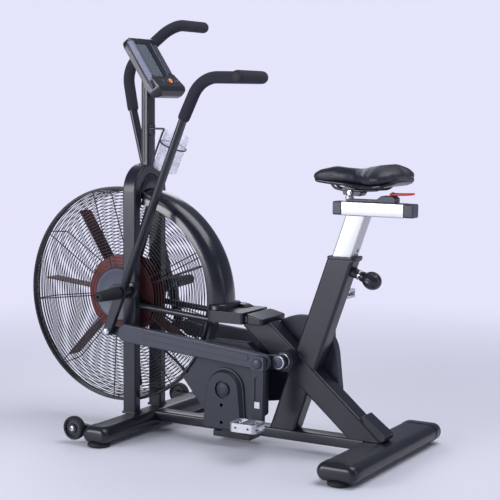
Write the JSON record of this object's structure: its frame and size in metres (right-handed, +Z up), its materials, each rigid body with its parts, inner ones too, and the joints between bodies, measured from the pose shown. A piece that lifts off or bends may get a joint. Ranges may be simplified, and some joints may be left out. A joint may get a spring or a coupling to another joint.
{
  "type": "air bike",
  "caption": "Upright exercise bike with a caged fan for resistance, swinging handles linked to the cranks, foot pegs and a height-adjustable saddle.",
  "frame": {"origin": "on the floor, at the middle of the bike's length and width; the crank axle is 268 mm behind it, at +X", "axes": "+X to the rider's back, +Y to the rider's right, +Z up; the fan is at -X"},
  "size_m": [1.248, 0.596, 1.2167],
  "materials": {
    "frame_paint": "satin black powder coat",
    "cover_grey": "dark grey moulded panels with a soft sheen",
    "black_plastic": "satin moulded black plastic",
    "rubber": "matte black rubber",
    "foam": "charcoal foam sleeve",
    "fan_red": "rust-red paint",
    "cage_wire": "gloss black coated wire",
    "satin_aluminium": "satin anodised",
    "bright_aluminium": "bright cast cage",
    "chrome": "bright",
    "steel": "plain turned steel",
    "lever_red": "red lever",
    "saddle_cover": "black synthetic leather",
    "screen": "grey-green display window",
    "button_orange": "orange key",
    "clear_plastic": "translucent pale plastic"
  },
  "bodies": {
    "root": {"main_beam": "frame_paint", "front_stabilizer": "frame_paint", "rear_stabilizer": "frame_paint", "front_end_cap_left": "black_plastic", "front_end_cap_right": "black_plastic", "rear_end_cap_left": "black_plastic", "rear_end_cap_right": "black_plastic", "front_foot_left": "rubber", "front_foot_right": "rubber", "rear_foot_left": "rubber", "rear_foot_right": "rubber", "arch_frame": "frame_paint", "console_mast": "frame_paint", "rear_frame": "frame_paint", "seat_collar": "black_plastic", "console_housing": "black_plastic", "console_screen": "screen", "console_keypad": "rubber", "fan_cage_left": "cage_wire", "fan_cage_right": "cage_wire", "fan_axle": "steel", "wind_duct": "black_plastic", "drive_cover_left": "cover_grey", "drive_cover_right": "cover_grey", "jackshaft_cover": "cover_grey", "top_cover": "black_plastic", "jackshaft_bracket": "frame_paint", "fan_belt": "rubber", "crank_belt": "rubber", "bearing_housing": "frame_paint", "foot_peg_left": "rubber", "foot_peg_right": "rubber", "bottle_holder": "clear_plastic"},
    "crank": {"crank_shaft": "frame_paint", "crank_pulley": "black_plastic", "crank_arm_left": "cover_grey", "crank_arm_right": "cover_grey"},
    "fan": {"fan_rotor": "fan_red"},
    "jackshaft": {"jackshaft": "steel"},
    "pedal_left": {"pedal_left": "bright_aluminium"},
    "pedal_right": {"pedal_right": "bright_aluminium"},
    "link_left": {"link_left": "cover_grey"},
    "link_right": {"link_right": "cover_grey"},
    "handle_left": {"handle_left": "frame_paint", "grip_left": "foam"},
    "handle_right": {"handle_right": "frame_paint", "grip_right": "foam"},
    "seat_post": {"seat_post": "satin_aluminium", "slider_beam": "satin_aluminium", "slider_cap_front": "black_plastic", "slider_cap_rear": "black_plastic"},
    "saddle": {"saddle_carriage": "cover_grey", "saddle_clamp": "chrome", "saddle": "saddle_cover"},
    "cam_lever": {"cam_lever": "lever_red"},
    "pop_pin": {"pop_pin": "black_plastic"},
    "transport_wheel_left": {"transport_wheel_left": "rubber"},
    "transport_wheel_right": {"transport_wheel_right": "rubber"},
    "console_button": {"console_button": "button_orange"}
  },
  "joints": [
    {"name": "crank_spin", "type": "hinge", "parent": "root", "child": "crank", "pos_m": [0.268, 0, 0.262], "axis": [0, 1, 0], "continuous": true},
    {"name": "jackshaft_spin", "type": "hinge", "parent": "root", "child": "jackshaft", "pos_m": [0.081, 0, 0.163], "axis": [0, 1, 0], "continuous": true},
    {"name": "fan_spin", "type": "hinge", "parent": "root", "child": "fan", "pos_m": [-0.304, 0, 0.402], "axis": [0, 1, 0], "continuous": true},
    {"name": "pedal_left_spin", "type": "hinge", "parent": "crank", "child": "pedal_left", "pos_m": [0.228, -0.19, 0.099], "axis": [0, 1, 0], "continuous": true},
    {"name": "link_left_turn", "type": "hinge", "parent": "crank", "child": "link_left", "pos_m": [0.228, -0.11, 0.262], "axis": [0, 1, 0], "continuous": true},
    {"name": "pedal_right_spin", "type": "hinge", "parent": "crank", "child": "pedal_right", "pos_m": [0.308, 0.19, 0.425], "axis": [0, 1, 0], "continuous": true},
    {"name": "link_right_turn", "type": "hinge", "parent": "crank", "child": "link_right", "pos_m": [0.308, 0.11, 0.262], "axis": [0, 1, 0], "continuous": true},
    {"name": "handle_left_swing", "type": "hinge", "parent": "root", "child": "handle_left", "pos_m": [-0.232, -0.125, 0.422], "axis": [0, 1, 0], "range_deg": [-37.02, 0]},
    {"name": "handle_right_swing", "type": "hinge", "parent": "root", "child": "handle_right", "pos_m": [-0.232, 0.125, 0.422], "axis": [0, 1, 0], "range_deg": [0, 37.02]},
    {"name": "seat_post_slide", "type": "slide", "parent": "root", "child": "seat_post", "axis": [0.3338, 0, 0.9426], "range_m": [-0.09, 0.06]},
    {"name": "saddle_slide", "type": "slide", "parent": "seat_post", "child": "saddle", "axis": [1, 0, 0], "range_m": [-0.03, 0.03]},
    {"name": "cam_lever_turn", "type": "hinge", "parent": "saddle", "child": "cam_lever", "pos_m": [0.558, 0, 0.73], "axis": [0, 0, 1], "range_deg": [0, 90]},
    {"name": "pop_pin_pull", "type": "slide", "parent": "root", "child": "pop_pin", "axis": [0.9426, 0, -0.3338], "range_m": [0, 0.01]},
    {"name": "console_button_press", "type": "slide", "parent": "root", "child": "console_button", "axis": [-0.829, 0, -0.5592], "range_m": [0, 0.001]},
    {"name": "transport_wheel_left_spin", "type": "hinge", "parent": "root", "child": "transport_wheel_left", "pos_m": [-0.294, -0.274, 0.045], "axis": [0, 1, 0], "continuous": true},
    {"name": "transport_wheel_right_spin", "type": "hinge", "parent": "root", "child": "transport_wheel_right", "pos_m": [-0.294, 0.274, 0.045], "axis": [0, 1, 0], "continuous": true}
  ],
  "couplings": [
    {"joint": "jackshaft_spin", "follows": "crank_spin", "ratio": 3.3333},
    {"joint": "fan_spin", "follows": "crank_spin", "ratio": 7.9487},
    {"joint": "link_left_turn", "follows": "crank_spin", "ratio": -1},
    {"joint": "link_right_turn", "follows": "crank_spin", "ratio": -1},
    {"joint": "handle_right_swing", "follows": "handle_left_swing", "ratio": -1}
  ]
}
